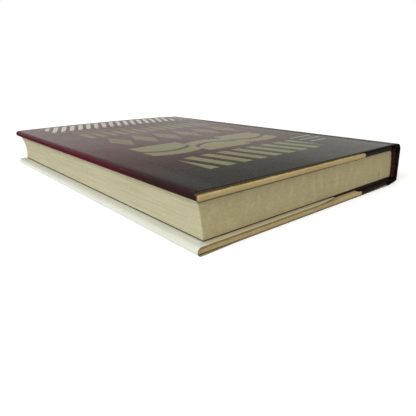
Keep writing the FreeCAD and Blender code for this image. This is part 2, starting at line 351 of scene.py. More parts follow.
# %% [markdown]
# ## Paper that is drawn as a sheet
# A jacket, a cloth or an endpaper is one sheet with a path across the spine and a straight run along the book.
# So a sheet is a grid: its columns follow the path, with round bends, and its rows follow the book. The grid
# is laid twice, a paper's thickness apart, and closed at its rims, which show the cut edge of the paper.
# Each point also keeps where it is on the flat sheet, because print must not slide when a cover opens.

# %% Paths with round bends
def bend_path(corners, radii, step, arc_steps=10):
    """Points along a path of straight runs, with an arc of the given radius at each inner corner."""
    corners = [np.array(c, float) for c in corners]
    runs = [[corners[0]]]
    arcs = []
    for before, corner, after, radius in zip(corners, corners[1:], corners[2:], radii):
        d0 = (corner - before) / np.linalg.norm(corner - before)
        d1 = (after - corner) / np.linalg.norm(after - corner)
        turn = math.atan2(d0[0] * d1[1] - d0[1] * d1[0], d0 @ d1)
        reach = radius * math.tan(abs(turn) / 2)
        side = math.copysign(1, turn)
        centre = corner - d0 * reach + side * radius * np.array([-d0[1], d0[0]])
        start_angle = math.atan2(*(corner - d0 * reach - centre)[::-1])
        angles = start_angle + turn * np.linspace(0, 1, arc_steps + 1)
        arcs.append(centre + radius * np.stack([np.cos(angles), np.sin(angles)], 1))
        runs[-1].append(corner - d0 * reach)
        runs.append([corner + d1 * reach])
    runs[-1].append(corners[-1])
    points = []
    for i, (start, end) in enumerate(runs):
        count = max(1, round(np.linalg.norm(end - start) / step))
        points += [start + (end - start) * t for t in np.linspace(0, 1, count, endpoint=False)]
        if i < len(arcs):
            points += list(arcs[i][:-1])
    points.append(corners[-1])
    kept = [points[0]]
    for point in points[1:]:
        if np.linalg.norm(point - kept[-1]) > 1e-6:
            kept.append(point)
    return np.array(kept)


def eased(value, low, high):
    """0 before low, 1 after high, and a smooth step between."""
    share = np.clip((value - low) / (high - low), 0, 1)
    return share * share * (3 - 2 * share)


def ripple(a, b, seed, sizes, count=5):
    """A smooth, random wave between -1 and 1 over two lengths, with crests about these sizes apart."""
    draw = np.random.default_rng(seed)
    total = np.zeros(np.broadcast(a, b).shape)
    for _ in range(count):
        angle = draw.uniform(0, 2 * math.pi)
        size = draw.uniform(*sizes)
        phase = draw.uniform(0, 2 * math.pi)
        total += np.sin((a * math.cos(angle) + b * math.sin(angle)) * 2 * math.pi / size + phase)
    return total / count


# %% Sheets
def linked(name, mesh):
    made = bpy.data.objects.new(name, mesh)
    scene.collection.objects.link(made)
    return made


def add_piece(name, points, faces, face_slots, materials, flat=None):
    """A smooth mesh object from points and faces, with a material for each face and its flat places."""
    mesh = bpy.data.meshes.new(name)
    mesh.from_pydata([tuple(p) for p in points], [], [tuple(int(i) for i in f) for f in faces])
    for material in materials:
        mesh.materials.append(material)
    mesh.polygons.foreach_set("material_index", np.array(face_slots, np.int32))
    if flat is not None:
        keep_flat_places(mesh, flat)
    mesh.polygons.foreach_set("use_smooth", np.full(len(mesh.polygons), True))
    mesh.validate()
    mesh.update()
    return linked(name, mesh)


def keep_flat_places(mesh, flat):
    layer = mesh.uv_layers.new(name="flat")
    corners = np.zeros(len(mesh.loops), np.int32)
    mesh.loops.foreach_get("vertex_index", corners)
    layer.data.foreach_set("uv", np.asarray(flat)[corners].astype(np.float32).ravel())


def sheet(name, path, ends, rows, materials, lift=None, inward=1):
    """A sheet of paper on a path, between two ends that may change along its run. Its outer face follows the
    path, and its inner face lies to the path's left, or to its right where inward is -1. Runs are counted
    from the hinge line. Lift moves the sheet out, for each run and row."""
    step = np.gradient(path, axis=0)
    step /= np.linalg.norm(step, axis=1)[:, None]
    normal = np.stack([step[:, 1], -step[:, 0]], 1) * inward
    run = np.concatenate([[0], np.cumsum(np.linalg.norm(np.diff(path, axis=0), axis=1))])
    near = np.abs(path[:, 0] - hinge_x) < 4 * mm
    order = np.argsort(path[near, 0])
    run -= np.interp(hinge_x, path[near, 0][order], run[near][order])
    start, end = [np.broadcast_to(e(run) if callable(e) else e, run.shape)[:, None] for e in ends]
    y = start + (end - start) * np.linspace(0, 1, rows)[None, :]
    runs = np.repeat(run[:, None], rows, 1)
    out = lift(runs, y) if lift else np.zeros_like(y)
    layers = []
    for depth in (0, -paper_thickness):
        shifted = path[:, None, :] + normal[:, None, :] * (out + depth)[:, :, None]
        layers.append(np.stack([shifted[:, :, 0], y, shifted[:, :, 1]], 2).reshape(-1, 3))
    count = len(path) * rows
    grid = np.arange(count).reshape(len(path), rows)
    a, b, c, d = grid[:-1, :-1], grid[1:, :-1], grid[1:, 1:], grid[:-1, 1:]
    outer = np.stack([a, b, c, d], 2).reshape(-1, 4)
    inner = np.stack([d, c, b, a], 2).reshape(-1, 4) + count
    rim = np.concatenate([grid[:, 0], grid[-1, 1:], grid[-2::-1, -1], grid[0, -2:0:-1]])
    after = np.roll(rim, -1)
    hem = np.stack([after, rim, rim + count, after + count], 1)
    faces = np.concatenate([outer, inner, hem])
    if inward < 0:
        faces = faces[:, ::-1]
    slots = [0] * len(outer) + [1] * len(inner) + [2] * len(hem)
    flat = np.stack([runs, y], 2).reshape(-1, 2)
    return add_piece(name, np.concatenate(layers), faces, slots, materials, flat=np.concatenate([flat, flat]))


# %% A piece at a joint, baked in place
def bend_at_joint(piece, side, near_x, far_x, z):
    """Bakes the piece's transform into its mesh; nothing ties it to the book or to this side's cover."""
    near, far = (near_x, 0, z), (far_x, 0, z)
    if side == "front":
        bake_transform(piece)
        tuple(far)
        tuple(near)
    else:
        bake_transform(piece)
        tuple(near)
        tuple(far)


# %% [markdown]
# ## Jacket
# The jacket is one printed and laminated sheet. It lies loosely: the spine stretch stands a little away from
# the cloth in shallow waves, and at the fore edge the paper is rolled round the board in a soft bulb.
# It is drawn as two sheets that meet in the middle of the spine, one for each cover, because each bends at
# one hinge. The print is made from soft-edged bars, half rounds and lozenges, calculated on the flat sheet.
# In the print u is the way from the hinge line and v the way along the book, both in millimetres.

# %% Print colours
black_ink = (0.013, 0.012, 0.009)
maroon_ink = (0.082, 0.004, 0.016)
gold_ink = (0.315, 0.295, 0.135)
white_ink = (0.86, 0.88, 0.82)
bare_paper = (0.74, 0.755, 0.685)
aged_paper = (0.62, 0.61, 0.49)
film = {"Coat_Roughness": 0.13, "Coat_IOR": 1.45, "Specular_IOR_Level": 0.05, "IOR": 1.45}


# %% Shapes of the print
def slanted_bars(u, v, left, right_end, low, high, pitch, width, slant=0.0):
    """Bars across a row, leaning by a share of the row's height."""
    phase = (u + (v - low) * slant - left + 100 * pitch).modulo(pitch)
    return phase.between(0, width, 0.15) * u.between(left, right_end, 0.15) * v.between(low, high, 0.15)


def half_round(u, v, centre, base, radius, facing):
    """A solid half disc that stands on its base line, with a narrow ring left out of it."""
    distance = ((u - centre) * (u - centre) + (v - base) * (v - base)) ** 0.5
    solid = 1 - distance.between(radius * 0.62, radius * 0.72, 0.15)
    inside = 1 - distance.beyond(radius, 0.15)
    upright = (v * facing).beyond(base * facing, 0.15)
    return solid * inside * upright


def lozenges(u, v, left, right_end, middle, tall, pitch):
    """A row of pointed shapes, taller than they are wide."""
    phase = abs((u - left + 100 * pitch).modulo(pitch) - pitch / 2)
    inside = phase / (pitch * 0.42) + abs(v - middle) / (tall / 2)
    return (1 - inside.beyond(1, 0.06)) * u.between(left, right_end, 0.15)


def spine_bars(u, v):
    return u.between(-20, -9, 0.15) * slanted_bars(v, u, -96, 92, -20, -9, 16, 9.5)


# %% Front print
def front_gold(u, v):
    """Leaning bars above half rounds that face each other, over two fainter rows and a rule."""
    gold = slanted_bars(u, v, 31, 122, 62, 90, 11.4, 6.4, 0.22)
    for centre, base, radius, facing in ((42, 18, 33, 1), (75, 54, 31, -1), (108, 18, 33, 1)):
        arch = half_round(u, v, centre, base, radius, facing)
        gold = gold.at_least(arch * u.between(centre - 17, centre + 17, 0.15))
    faded = lozenges(u, v, 16, 124, -10, 38, 18)
    faded = faded.at_least(slanted_bars(u, v, 16, 124, -62, -38, 8.5, 5.2))
    faded = faded.at_least(v.between(-70, -67.5, 0.15) * u.between(16, 124, 0.15))
    return gold.at_least(faded * 0.62)


def front_white(u, v):
    """A row of dashes of uneven height at the tail, and three short, fainter rules near the spine."""
    dash_tops = -79 - abs((u * 0.9).sine()) * 9
    dashes = slanted_bars(u, v, 14, 134, -112, -78, 7.0, 3.6, -0.42) * (dash_tops - v).beyond(0, 0.3)
    long_rules = v.between(58, 59.2).at_least(v.between(66, 67.2))
    short_rule = v.between(74, 75.2) * u.between(10, 26, 0.15)
    return dashes.at_least(u.between(5, 26, 0.15) * long_rules.at_least(short_rule) * 0.7)


def front_print():
    """Maroon towards the tail, black towards the head and the spine, under a clear film."""
    finish = Finish("jacket_front_print")
    flat = finish.flat()
    u, v, _ = finish.in_mm(flat)
    cloud = finish.noise(flat, 12, 2, 0.5).spread(0.3, 0.7, -10, 10)
    to_maroon = (1 - (v + cloud - u * 0.08).spread(2, 92)) * u.spread(-2, 14)
    at_fold = u.between(148, 155, 3)
    ground = finish.mix(to_maroon.at_least(at_fold * 0.2), black_ink, maroon_ink)
    ink = finish.mix(front_gold(u, v).at_least(spine_bars(u, v)), ground, gold_ink)
    ink = finish.mix(front_white(u, v), ink, white_ink)
    wear = finish.noise(flat, 900, 3, 0.65)
    folds = u.between(149.6, 151.8, 1.2).at_least(u.between(-6.6, -2.2, 2.0))
    ink = finish.mix(folds * wear.beyond(0.70, 0.08) * 0.22, ink, bare_paper)
    smudge = finish.noise(flat, 38, 3, 0.6)
    scuff = finish.noise(flat, 260, 2, 0.5, (1, 0.12, 1))
    gloss = 0.24 + smudge.spread(0.35, 0.7, 0, 0.08) + scuff.beyond(0.64, 0.1) * 0.06
    gloss = gloss + u.beyond(151.7, 1.2) * 0.5
    skin = finish.noise(flat, 2600, 2, 0.5) * 0.35 + smudge * 1.6
    on_panel = u.between(-1.6, 151.4, 1.4) * (v.beyond(-113, 5) * 0.5 + 0.32)
    on_spine = (1 - u.beyond(-4.5, 3)) * 0.5
    return finish.finished(ink, gloss, skin, 0.00005, Coat_Weight=on_panel + on_spine, **film)


# %% Back print
def back_print():
    """Off-white back panel, with the black of the spine turned over its edge and a pale framed field."""
    finish = Finish("jacket_back_print")
    flat = finish.flat()
    u, v, _ = finish.in_mm(flat)
    field = u.between(18, 138, 0.2) * v.between(-98, 100, 0.2)
    inner = u.between(19.2, 136.8, 0.2) * v.between(-96.8, 98.8, 0.2)
    ink = finish.mix(field * (1 - inner), bare_paper, (0.32, 0.27, 0.16))
    ink = finish.mix(slanted_bars(v, u, -60, 80, 34, 122, 14, 0.8) * 0.6, ink, (0.35, 0.33, 0.30))
    ink = finish.mix(1 - u.beyond(3.0, 0.2), ink, black_ink)
    ink = finish.mix(spine_bars(u, v), ink, gold_ink)
    tone = finish.noise(flat, 30, 3, 0.6)
    ink = finish.mix(tone.spread(0.4, 0.75, 0, 0.25), ink, aged_paper)
    # Painted shade: the flap's strip beside the pages, at the head and the tail, is darkened to a dim cream for
    # the shade of the text block above it.
    ink = finish.mix(abs(v).beyond(114.2, 0.8) * u.beyond(160, 7.0) * 0.9, ink, (0.52, 0.46, 0.28))
    gloss = 0.30 + tone.spread(0.35, 0.7, 0, 0.12)
    skin = finish.noise(flat, 2600, 2, 0.5) * 0.4 + tone * 1.4
    return finish.finished(ink, gloss, skin, 0.00005, Coat_Weight=u.beyond(-1.6, 1.4) * 0.3 + 0.5, **film)


# %% Bare sides of the jacket
def cut_edge(name, dark_before, paper):
    """Cut edge of the jacket: a dark colour with a fibre tone, which is painted shade on the thin edge, and
    black before a place near the spine, also painted shade.
    """
    finish = Finish(name)
    u, _, _ = finish.in_mm(finish.flat())
    fibre = finish.noise(finish.flat(), 900, 3, 0.6)
    colour = finish.mix(fibre.spread(0.35, 0.7), paper, (0.20, 0.16, 0.08))
    colour = finish.mix(1 - u.beyond(dark_before, 6.0), colour, black_ink)
    return finish.finished(colour, 0.8, fibre, 0.00004)


def jacket_back_of_sheet():
    """The bare inside of the jacket, with painted shade in black along the ends of the spine, where the inside
    shows beside the cloth, and browned and darkened where it shows at the head and the tail: part age, part
    painted shade."""
    finish = Finish("jacket_inside")
    flat = finish.flat()
    u, v, _ = finish.in_mm(flat)
    tone = finish.noise(flat, 45, 3, 0.6)
    fibre = finish.noise(flat, 3200, 3, 0.6, (1, 0.35, 1))
    colour = finish.mix(tone.spread(0.35, 0.7), bare_paper, aged_paper)
    # Painted shade: black on the inside at the ends of the spine, for the shaded gap between the jacket and the
    # cloth.
    colour = finish.mix((1 - u.beyond(3.0, 4.0)) * abs(v).beyond(112.5, 4.0), colour, black_ink)
    # Browned and darkened at the head and the tail, away from the spine: part age, part painted shade under the
    # cover's edge.
    colour = finish.mix(abs(v).beyond(115.6, 1.2) * u.between(20, 153, 6.0) * 0.9, colour, (0.40, 0.32, 0.18))
    return finish.finished(colour, 0.62, fibre, 0.00004)


jacket_inside = jacket_back_of_sheet()
# Painted shade: both cut edges get a dark brown instead of the paper's pale colour, and black near the spine.
front_edge = cut_edge("front_jacket_cut_edge", 38.0, (0.075, 0.055, 0.022))
back_edge = cut_edge("back_jacket_cut_edge", 30.0, (0.20, 0.145, 0.06))
front_jacket_materials = [front_print(), jacket_inside, front_edge]
back_jacket_materials = [back_print(), jacket_inside, back_edge]
print("print finishes made")

# %% Places of the jacket
middle_spine = ((spine_top_x + spine_foot_x) / 2, (spine_top_z + spine_foot_z) / 2)
cover_fold = top - low_jacket.z
fold_radius = cover_fold / 2
front_narrower = 1.0 * mm
front_fold_x = fold_x - front_narrower
panel_run = fold_x - hinge_x - fold_radius
flap_run = panel_run + math.pi * fold_radius
jacket_bend = 1.2 * mm
jacket_step = 1.6 * mm
jacket_rows = 150
jacket_skew = 0.8 * mm
print("panel", round(panel_run / mm, 1), "mm, round fold", round((flap_run - panel_run) / mm, 1), "mm")


# %% How the jacket stands off the cover
def spine_waves(run, y):
    wide = (0.5 + 0.5 * ripple(run, y, 3, (22 * mm, 60 * mm))) * 0.30 * mm
    narrow = (0.5 + 0.5 * ripple(run, y, 5, (9 * mm, 18 * mm))) * 0.14 * mm
    return (wide + narrow) * eased(-run, 2.5 * mm, 7.5 * mm)


def front_lift(run, y):
    """The front panel hugs the cover beside the joint and at the head, and arches over the tail edge."""
    outwards = eased(run, 15 * mm, 110 * mm)
    hug = jacket_air * 0.85 * (1 - outwards) * eased(run, -4 * mm, 1.5 * mm)
    at_head = eased(y, 40 * mm, 110 * mm) * outwards * (1 - eased(run, 136 * mm, 150 * mm))
    hug = hug + jacket_air * 0.5 * at_head
    across = np.sin(math.pi * np.clip(run / (152 * mm), 0, 1) ** 0.75) ** 0.8
    arch = 0.9 * mm * eased(-y, 45 * mm, 117 * mm) * across
    small = (0.5 + 0.5 * ripple(run, y, 11, (60 * mm, 150 * mm))) * 0.10 * mm * eased(run, 0, 12 * mm)
    on_flap = run > front_fold_x - hinge_x + 2 * mm
    return spine_waves(run, y) + np.where(on_flap, 0, np.minimum(arch + small - hug, 0.7 * mm))


def back_lift(run, y):
    """The back panel lies on the table. The flap's strip beside the pages curls up at its free corner."""
    beside = eased(np.abs(y), page_end + 0.2 * mm, jacket_end)
    along = eased(run, flap_run - 6 * mm, flap_run + 6 * mm)
    corner = eased(run, flap_run + 74 * mm, flap_run + 92 * mm)
    return spine_waves(-run, y) * (run < 0) + beside * along * corner * 1.1 * mm


def skewed(end):
    """The front half slants a little from the hinge line on, so that its fore edge lies nearer to the tail."""
    return lambda run: end - jacket_skew * np.clip(run / (150 * mm), 0, 1) + 0.2 * mm


def shifted(end):
    """The back half sticks out at the head by the corner of its fold."""
    return lambda run: end + (1.0 * eased(run, 128 * mm, 150 * mm) - 0.1) * mm


# %% Jacket over the front cover
fold_radii = [1.0 * mm, fold_radius * 0.999, fold_radius * 0.999]
corners = [middle_spine, (spine_top_x, spine_top_z), (hinge_x, top), (front_fold_x, top),
           (front_fold_x, low_jacket.z), (front_fold_x - flap_width, low_jacket.z)]
path = bend_path(corners, [spine_corner_radius, *fold_radii], jacket_step)
jacket_front = sheet("jacket_front_sheet", path, (skewed(-jacket_end), skewed(jacket_end)), jacket_rows,
                     front_jacket_materials, front_lift, inward=-1)
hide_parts("front_jacket", "jacket_spine")
bend_at_joint(jacket_front, "front", hinge_x - jacket_bend, hinge_x + jacket_bend, top)
print("front jacket", len(jacket_front.data.polygons), "faces")

# %% Jacket over the back cover
corners = [middle_spine, (spine_foot_x, spine_foot_z), (hinge_x, 0), (fold_x, 0),
           (fold_x, cover_fold), (fold_x - flap_width, cover_fold)]
path = bend_path(corners, [spine_foot_radius, *fold_radii], jacket_step)
jacket_back = sheet("jacket_back_sheet", path, (shifted(-jacket_end), shifted(jacket_end)), jacket_rows,
                    back_jacket_materials, back_lift)
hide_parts("back_jacket")
bend_at_joint(jacket_back, "back", hinge_x - jacket_bend, hinge_x + jacket_bend, 0)
print("back jacket", len(jacket_back.data.polygons), "faces")


# %% [markdown]
# ## Pages
# The text block is a stack of some 150 leaves, trimmed together. Seen close, no two leaves end at quite the same
# place, and the whole stack leans: the last pages sit nearer the spine. The block is drawn as the real one
# is stacked, outline upon outline, each a hair longer or shorter than the one below.

# %% Page finish
def page_finish():
    """Cream leaves with darker gatherings, and head and tail edges that are darker and yellower."""
    finish = Finish("page_edges")
    place = finish.place()
    x, y, height = finish.in_mm(place)
    first_page = high_pages.z / mm
    last_page = low_pages.z / mm
    leaf = finish.noise(place, 1.0, 2, 0.6, (60, 60, 6500))
    gather = finish.noise(place, 1.0, 2, 0.5, (25, 25, 900))
    blotch = finish.noise(place, 55, 4, 0.6)
    marks = finish.noise(place, 210, 2, 0.5, (1, 1, 2.4)).beyond(0.70, 0.07)
    speckle = finish.noise(place, 430, 3, 0.65, (1, 1, 2.6))
    smear = finish.noise(place, 210, 2, 0.6, (1, 1, 0.5))
    grain = finish.noise(place, 1150, 3, 0.7, (1, 1, 1.5))
    waved_height = height + (finish.noise(place, 14, 2, 0.5) * 0.5 - 0.25)
    # The head and tail faces are darker and yellower than the fore edge, with more blotches and specks.
    end_faces = abs(y).beyond(page_end / mm - 0.5, 0.4)

    colour = finish.mix(gather.spread(0.35, 0.68), (0.625, 0.60, 0.43), (0.54, 0.515, 0.345))
    colour = finish.mix(leaf.spread(0.42, 0.74) * 0.45, colour, (0.36, 0.33, 0.205))
    colour = finish.mix(end_faces * 0.72, colour, (0.50, 0.415, 0.205))
    colour = finish.mix(blotch.spread(0.42, 0.72) * (0.25 + end_faces * 0.20), colour, (0.46, 0.40, 0.235))
    colour = finish.mix(speckle.spread(0.40, 0.74) * (0.16 + end_faces * 0.26), colour, (0.33, 0.27, 0.13))
    colour = finish.mix(grain.spread(0.36, 0.66) * (0.10 + end_faces * 0.16), colour, (0.30, 0.25, 0.12))
    colour = finish.mix(smear.spread(0.50, 0.78) * (0.15 + end_faces * 0.35), colour, (0.60, 0.56, 0.36))

    # Painted shade: dark lines on the fore edge at the two gaps where leaves near the top stand back.
    gap_shade = waved_height.between(first_page - 1.42, first_page - 1.26, 0.08)
    gap_shade = gap_shade.at_least(waved_height.between(first_page - 2.3, first_page - 2.2, 0.08))
    colour = finish.mix(gap_shade * (1 - end_faces) * 0.7, colour, (0.20, 0.18, 0.09))
    colour = finish.mix(marks * 0.28, colour, (0.30, 0.24, 0.14))
    # Painted shade: a dark line on the head and tail faces just under the front cover, strongest towards the
    # fore edge.
    shade_under_front_cover = height.between(20.75, 21.12, 0.12) * end_faces * x.spread(-60, 30, 0.25, 0.8)
    colour = finish.mix(shade_under_front_cover, colour, (0.13, 0.085, 0.03))
    spot = ((x + 62) * (x + 62) * 1.2 + (height - 8.2) * (height - 8.2)) ** 0.5
    spot = 1 - spot.beyond(0.9 + (speckle - 0.5) * 2.4, 0.5)
    colour = finish.mix(spot * end_faces * 0.75, colour, (0.10, 0.075, 0.03))
    # Painted shade: the top and bottom leaves are coloured near black, for the shaded gaps between the pages and
    # the endpapers.
    cover_gap_shade = height.beyond(first_page - 0.12, 0.05).at_least(1 - height.beyond(last_page + 0.30, 0.06))
    colour = finish.mix(cover_gap_shade, colour, (0.030, 0.012, 0.009))
    return finish.finished(colour, 0.85, leaf + gather * 1.5, 0.00009)


# %% Text block
leaf_levels = 130


def text_block():
    """Closed outlines of the stack, from the last page up, joined with faces."""
    z = np.linspace(low_pages.z, high_pages.z, leaf_levels)
    height = (z - low_pages.z) / (high_pages.z - low_pages.z)
    arch = 1 - (2 * height - 1) ** 2
    back_x = hinge_x - shoulder - page_lean * (1 - height)
    stray = chance.normal(0, 0.035 * mm, (leaf_levels, 3))
    gaps = np.exp(-((high_pages.z - z - 1.25 * mm) / (0.10 * mm)) ** 2)
    gaps += 0.7 * np.exp(-((high_pages.z - z - 2.1 * mm) / (0.10 * mm)) ** 2)
    across = np.linspace(0, 1, 46)
    along = np.linspace(0, 1, 76)
    hollow = fore_hollow_tail + (fore_hollow_head - fore_hollow_tail) * along
    rings = []
    for i in range(leaf_levels):
        spine_x = back_x[i] - spine_rounding * arch[i]
        y_wave = ripple(along * 229 * mm, z[i] * 6, 21, (60 * mm, 160 * mm)) * 0.05 * mm
        fore = back_x[i] + page_width - hollow * arch[i] + stray[i, 0] + y_wave - gaps[i] * 0.3 * mm
        x_wave = ripple(across * 150 * mm, z[i] * 6, 23, (40 * mm, 120 * mm)) * 0.04 * mm
        tail = -page_end + stray[i, 1] + x_wave
        head = page_end + stray[i, 2] * 0.6 + x_wave[::-1]
        ring = [(spine_x + (fore[0] - spine_x) * s, tail[k]) for k, s in enumerate(across)]
        ring += [(fore[k], tail[-1] + (head[0] - tail[-1]) * along[k]) for k in range(1, len(along) - 1)]
        ring += [(fore[-1] + (spine_x - fore[-1]) * s, head[k]) for k, s in enumerate(across)]
        rings.append([(x, y, z[i]) for x, y in ring])
    count = len(rings[0])
    faces = []
    for i in range(leaf_levels - 1):
        for k in range(count):
            after = (k + 1) % count
            faces.append((i * count + k, i * count + after, (i + 1) * count + after, (i + 1) * count + k))
    faces.append(tuple(range(count))[::-1])
    faces.append(tuple(range((leaf_levels - 1) * count, leaf_levels * count)))
    mesh = bpy.data.meshes.new("text_block_pages")
    mesh.from_pydata([tuple(p) for p in np.array(rings).reshape(-1, 3)], [], faces)
    mesh.materials.append(page_finish())
    mesh.update()
    return linked("text_block_pages", mesh)


pages = text_block()
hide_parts("text_block")
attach(pages, "book_block")
print("pages", len(pages.data.polygons), "faces")

# %% [markdown]
# ## Paper, board and cloth
# The rest of the book is paper, board, cloth and gauze. Each gets a finish that is worked out from where a
# point is, so that grain runs through it evenly. The spine's card and its lining stay as they are in the frame
# and only get their finish here. Every other piece is drawn again below.

# %% Papers
board_middle = (low_board.z + high_board.z) / 2 - top / 2


def tan_paper():
    """The tan paper of the sides: a soft grain, and painted shade along the rounded rims of the board at the
    head and the tail.
    """
    finish = Finish("tan_cover_paper")
    place = finish.place()
    _, y, z = finish.in_mm(place)
    tone = finish.noise(place, 40, 4, 0.6)
    fibre = finish.noise(place, 1400, 3, 0.65)
    rub = finish.noise(place, 320, 3, 0.6)
    colour = finish.mix(tone.spread(0.35, 0.7), (0.50, 0.385, 0.175), (0.42, 0.31, 0.135))
    colour = finish.mix(rub.beyond(0.60, 0.12) * 0.35, colour, (0.60, 0.50, 0.29))
    colour = finish.mix(fibre.beyond(0.62, 0.2) * 0.15, colour, (0.25, 0.17, 0.08))
    from_board = abs(abs(z - top / mm / 2) - board_middle / mm)
    at_ends = abs(y).beyond(cover_end / mm - 1.3, 0.8)
    # Painted shade: the paper near the board's outer and inner faces is darkened at the head and the tail, where
    # its rounded rims fall in shade.
    painted_edge_shade = from_board.beyond(1.27 + (rub - 0.5) * 0.3, 0.16) * at_ends
    colour = finish.mix(painted_edge_shade * 0.85, colour, (0.050, 0.032, 0.006))
    return finish.finished(colour, 0.74, fibre + rub * 0.8, 0.00006)


def kraft():
    finish = Finish("kraft_lining")
    fibre = finish.noise(finish.place(), 800, 3, 0.6, (1, 0.3, 1))
    colour = finish.mix(fibre.spread(0.35, 0.7), (0.30, 0.20, 0.11), (0.22, 0.14, 0.07))
    return finish.finished(colour, 0.85, fibre, 0.00006)


def dark_endpaper():
    """Heavy maroon paper, coloured by its flat places."""
    finish = Finish("maroon_endpaper")
    flat = finish.flat()
    fibre = finish.noise(flat, 1900, 3, 0.6)
    tone = finish.noise(flat, 60, 3, 0.6)
    colour = finish.mix(tone.spread(0.35, 0.7), (0.070, 0.012, 0.014), (0.050, 0.010, 0.012))
    colour = finish.mix(fibre.beyond(0.62, 0.2) * 0.2, colour, (0.14, 0.04, 0.04))
    return finish.finished(colour, 0.8, fibre, 0.00004)


# %% Board
def raw_board(name, covered_from=None):
    """Grey board, with dark cloth turned in over its ends where covered_from is given, in millimetres."""
    finish = Finish(name)
    place = finish.place()
    pulp = finish.noise(place, 900, 4, 0.7)
    colour = finish.mix(pulp.spread(0.35, 0.7), (0.30, 0.28, 0.25), (0.20, 0.185, 0.16))
    if covered_from is not None:
        _, y, _ = finish.in_mm(place)
        colour = finish.mix(abs(y).beyond(covered_from, 0.2), colour, (0.008, 0.005, 0.003))
    return finish.finished(colour, 0.9, pulp, 0.0001, Specular_IOR_Level=0.2)


# %% Woven finishes
def gauze():
    """Open gauze: light threads both ways, with dark holes between them."""
    finish = Finish("gauze")
    u, v, _ = finish.in_mm(finish.flat())
    warp = (v * 5.5).sine() * 0.5 + 0.5
    weft = (u * 5.5).sine() * 0.5 + 0.5
    threads = warp.at_least(weft)
    colour = finish.mix(threads.beyond(0.6, 0.4), (0.30, 0.27, 0.20), (0.62, 0.59, 0.48))
    return finish.finished(colour, 0.95, threads, 0.0001)


def dark_cloth():
    """Closely woven book cloth. The weave follows the flat sheet, so it bends with the cloth."""
    finish = Finish("dark_book_cloth")
    flat = finish.flat()
    u, v, _ = finish.in_mm(flat)
    warp = (u * 13).sine() * 0.5 + 0.5
    weft = (v * 13).sine() * 0.5 + 0.5
    weave = warp * weft + (1 - warp) * (1 - weft)
    slub = finish.noise(flat, 700, 2, 0.5, (1, 0.2, 1))
    colour = finish.mix(weave * 0.6 + slub * 0.3, (0.006, 0.004, 0.0025), (0.019, 0.012, 0.007))
    return finish.finished(colour, 0.7, weave + slub * 0.6, 0.00009, Specular_IOR_Level=0.08)


# %% Solids that stay
kept_solids = {
    "spine_card": raw_board("spine_card_with_turned_in_cloth", covered_from=102),
    "spine_lining": kraft(),
}
for name, material in kept_solids.items():
    node = frame["nodes"][name]
    node.data.materials.clear()
    node.data.materials.append(material)
print("finished", list(kept_solids))

# %% [markdown]
# ## Cloth and gauze over the joints
# The book cloth is one piece from board to board, and so is the gauze under it. The frame has to hold them as
# separate solids, because its bodies are rigid. Here copies of the solids of both sides of a joint become one
# mesh: the ends that face each other are moved together, and the joint is cut into narrow strips.

# %% Copies of solids as one mesh that can bend
def copied(name):
    """A bmesh with the mesh of this node, its doubled points merged."""
    shape = bmesh.new()
    shape.from_mesh(frame["nodes"][name].data)
    bmesh.ops.remove_doubles(shape, verts=shape.verts, dist=0.002 * mm)
    return shape


def cut(shape, plane, normal, **options):
    geometry = shape.verts[:] + shape.edges[:] + shape.faces[:]
    bmesh.ops.bisect_plane(shape, geom=geometry, dist=0.0005 * mm, plane_co=plane, plane_no=normal, **options)


def sliced(shape, places, axis=0):
    """Cuts along planes across an axis, so that the mesh can bend or be shaped there."""
    for place in places:
        plane = Vector((0, 0, 0))
        plane[axis] = place
        normal = Vector((0, 0, 0))
        normal[axis] = 1
        cut(shape, plane, normal)


def made_piece(name, shape, material):
    """A mesh object from a bmesh, with flat places for its finish, and edges that stay sharp."""
    mesh = bpy.data.meshes.new(name)
    bmesh.ops.recalc_face_normals(shape, faces=shape.faces)
    shape.to_mesh(mesh)
    shape.free()
    mesh.materials.append(material)
    while mesh.uv_layers:
        mesh.uv_layers.remove(mesh.uv_layers[0])
    points = np.zeros(len(mesh.vertices) * 3)
    mesh.vertices.foreach_get("co", points)
    x, y, z = points.reshape(-1, 3).T
    keep_flat_places(mesh, np.stack([x + z, y], 1))
    mesh.polygons.foreach_set("use_smooth", np.full(len(mesh.polygons), True))
    mesh.set_sharp_from_angle(angle=math.radians(35))
    mesh.update()
    return linked(name, mesh)


# %% How this book's covers differ from new ones
settled_by = 0.5 * mm
settling = (hinge_x + 2 * mm, hinge_x + 26 * mm)
same_place = 0.02 * mm


def settle(shape, side):
    """The back cover has sunk on to the jacket under it, from the joint outwards."""
    if side == "back":
        sliced(shape, np.linspace(*settling, 12))
        for point in shape.verts:
            point.co.z -= settled_by * float(eased(point.co.x, *settling))


def narrow(shape, side):
    """The front cover of this book reaches a little less far over the pages than the back cover does."""
    if side == "front":
        for point in shape.verts:
            point.co.x -= front_narrower * float(eased(point.co.x, -20 * mm, 60 * mm))


def close_seam(shape):
    """On the inner face of a board the cloth meets the paper further out than on its edge. The seam there is
    moved nearer to the paper's own end, so that the end looks like one round."""
    for point in shape.verts:
        at_seam = abs(point.co.x - cloth_end_x) < same_place
        on_inner_face = abs(point.co.z - top / 2) < low_board.z - top / 2 + same_place
        if at_seam and on_inner_face:
            point.co.x -= 2.6 * mm


# %% Cloth and gauze
joint_gap = 0.1 * mm
joint_strips = np.linspace(-1.0, 1.7, 15) * mm + hinge_x


